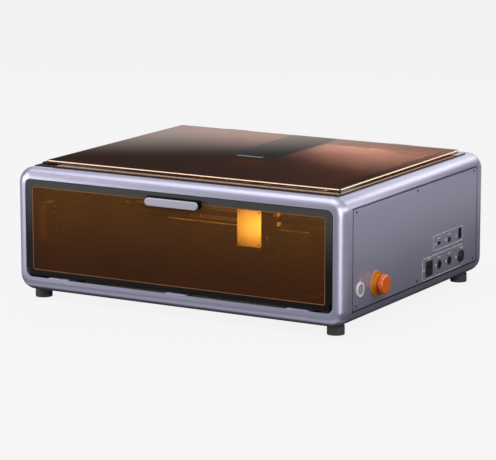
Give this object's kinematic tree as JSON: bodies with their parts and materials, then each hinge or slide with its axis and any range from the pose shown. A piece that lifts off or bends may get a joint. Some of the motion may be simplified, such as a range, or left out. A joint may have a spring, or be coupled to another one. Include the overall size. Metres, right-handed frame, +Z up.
{
  "type": "desktop laser cutter",
  "caption": "Enclosed desktop laser cutter: rounded metal casing, amber flip-down front door and hinged lid, belt-driven gantry with laser head, side controls.",
  "frame": {"origin": "under the middle of the casing, on the plane of the four feet", "axes": "+Z up, -Y towards the front door, +X towards the side with the power button"},
  "size_m": [0.584, 0.512, 0.2115],
  "materials": {
    "case_paint": "satin",
    "inner_black": "matte",
    "deck_black": "satin",
    "screw_steel": "satin",
    "foot_rubber": "matte",
    "amber_acrylic": "gloss",
    "door_black": "satin",
    "bare_metal": "satin",
    "black_plastic": "matte",
    "light_diffuser": "satin",
    "bed_aluminium": "satin",
    "bed_steel": "satin",
    "rail_steel": "satin",
    "pulley_metal": "satin",
    "belt_rubber": "matte",
    "motor_black": "satin",
    "gantry_black": "satin",
    "head_silver": "satin",
    "nozzle_brass": "satin",
    "grille_black": "satin",
    "board_green": "satin",
    "button_chrome": "polished",
    "button_grey": "satin",
    "estop_yellow": "gloss",
    "estop_orange": "gloss"
  },
  "bodies": {
    "casing": {"front_frame": "case_paint", "rear_frame": "case_paint", "side_rails_left": "case_paint", "side_rails_right": "case_paint", "side_panel_left": "case_paint", "side_panel_right": "case_paint", "rear_panel": "case_paint", "bottom_plate": "inner_black", "inner_walls": "inner_black", "top_deck": "deck_black", "panel_screws": "screw_steel", "hinge_pins": "screw_steel", "feet": "foot_rubber", "door_hinge_brackets": "bare_metal", "lid_hinge_bases": "bare_metal", "idler_brackets": "bare_metal", "rocker_bezel": "black_plastic", "key_switch_body": "black_plastic", "sockets": "black_plastic", "exhaust_fan_frame": "black_plastic", "duct_collar": "black_plastic", "led_strip": "light_diffuser", "bed_frame": "bed_aluminium", "bed_slats": "bed_steel", "y_rails": "rail_steel", "y_belts": "belt_rubber", "y_motor": "motor_black", "exhaust_grille": "grille_black", "control_board": "board_green", "power_button_bezel": "button_chrome", "estop_base": "estop_yellow"},
    "door": {"door_frame": "door_black", "door_window": "amber_acrylic", "door_handle": "bare_metal", "handle_block": "black_plastic"},
    "lid": {"lid_panel": "amber_acrylic", "lid_frame": "amber_acrylic", "lid_strip": "black_plastic", "camera_housing": "black_plastic", "lid_hinge_leaves": "bare_metal"},
    "gantry": {"gantry_beam": "gantry_black", "gantry_carriages": "gantry_black", "x_rail": "rail_steel", "x_belt": "belt_rubber", "x_motor": "motor_black"},
    "head": {"head_carriage": "gantry_black", "laser_module": "gantry_black", "head_cover": "head_silver", "nozzle": "nozzle_brass"},
    "x_drive": {"x_drive_pulley": "pulley_metal"},
    "x_idler": {"x_idler_pulley": "pulley_metal"},
    "y_shaft": {"y_drive_shaft": "rail_steel"},
    "y_idlers": {"y_idler_pulleys": "pulley_metal"},
    "exhaust_rotor": {"exhaust_fan_rotor": "black_plastic"},
    "head_rotor": {"head_fan_rotor": "black_plastic"},
    "power_button": {"power_button_cap": "button_grey"},
    "estop_plunger": {"estop_stem": "estop_orange"},
    "estop_mushroom": {"estop_head": "estop_orange"},
    "key_lock": {"key_barrel": "button_chrome"},
    "rocker_switch": {"rocker": "black_plastic"}
  },
  "joints": [
    {"name": "door_hinge", "type": "hinge", "parent": "casing", "child": "door", "pos_m": [0, -0.2335, 0.0427], "axis": [1, 0, 0], "range_deg": [0, 90]},
    {"name": "lid_hinge", "type": "hinge", "parent": "casing", "child": "lid", "pos_m": [0, 0.211, 0.2084], "axis": [-1, 0, 0], "range_deg": [0, 75]},
    {"name": "gantry_slide", "type": "slide", "parent": "casing", "child": "gantry", "axis": [0, 1, 0], "range_m": [-0.055, 0.25]},
    {"name": "head_slide", "type": "slide", "parent": "gantry", "child": "head", "axis": [1, 0, 0], "range_m": [-0.2675, 0.1135]},
    {"name": "y_shaft_spin", "type": "hinge", "parent": "casing", "child": "y_shaft", "pos_m": [0, 0.2, 0.14], "axis": [1, 0, 0], "range_deg": [-480, 2175]},
    {"name": "y_idler_spin", "type": "hinge", "parent": "casing", "child": "y_idlers", "pos_m": [0, -0.215, 0.14], "axis": [1, 0, 0], "range_deg": [-480, 2175]},
    {"name": "x_drive_spin", "type": "hinge", "parent": "gantry", "child": "x_drive", "pos_m": [-0.2, -0.052, 0.125], "axis": [0, 0, 1], "range_deg": [-2325, 990]},
    {"name": "x_idler_spin", "type": "hinge", "parent": "gantry", "child": "x_idler", "pos_m": [0.212, -0.052, 0.125], "axis": [0, 0, 1], "range_deg": [-2325, 990]},
    {"name": "exhaust_fan_spin", "type": "hinge", "parent": "casing", "child": "exhaust_rotor", "pos_m": [-0.027, 0.221, 0.076], "axis": [0, 1, 0], "continuous": true},
    {"name": "head_fan_spin", "type": "hinge", "parent": "head", "child": "head_rotor", "pos_m": [0.0775, -0.13025, 0.156], "axis": [0, 0, 1], "continuous": true},
    {"name": "power_press", "type": "slide", "parent": "casing", "child": "power_button", "axis": [-1, 0, 0], "range_m": [0, 0.0015], "stiffness_N_per_m": 1200, "springref_m": -0.001},
    {"name": "estop_press", "type": "slide", "parent": "casing", "child": "estop_plunger", "axis": [-1, 0, 0], "range_m": [0, 0.004]},
    {"name": "estop_twist", "type": "hinge", "parent": "estop_plunger", "child": "estop_mushroom", "pos_m": [0.2835, -0.1345, 0.0638], "axis": [1, 0, 0], "range_deg": [0, 45], "stiffness_Nm_per_rad": 0.05, "springref_deg": -5.73},
    {"name": "key_turn", "type": "hinge", "parent": "casing", "child": "key_lock", "pos_m": [0.2835, 0.1526, 0.054], "axis": [1, 0, 0], "range_deg": [0, 90]},
    {"name": "rocker_tilt", "type": "hinge", "parent": "casing", "child": "rocker_switch", "pos_m": [0.281, 0.0412, 0.05415], "axis": [0, -1, 0], "range_deg": [0, 12]}
  ],
  "couplings": [
    {"joint": "y_shaft_spin", "follows": "gantry_slide", "rad_per_m": 151.52},
    {"joint": "y_idler_spin", "follows": "gantry_slide", "rad_per_m": 151.52},
    {"joint": "x_drive_spin", "follows": "head_slide", "rad_per_m": 151.52},
    {"joint": "x_idler_spin", "follows": "head_slide", "rad_per_m": 151.52}
  ]
}
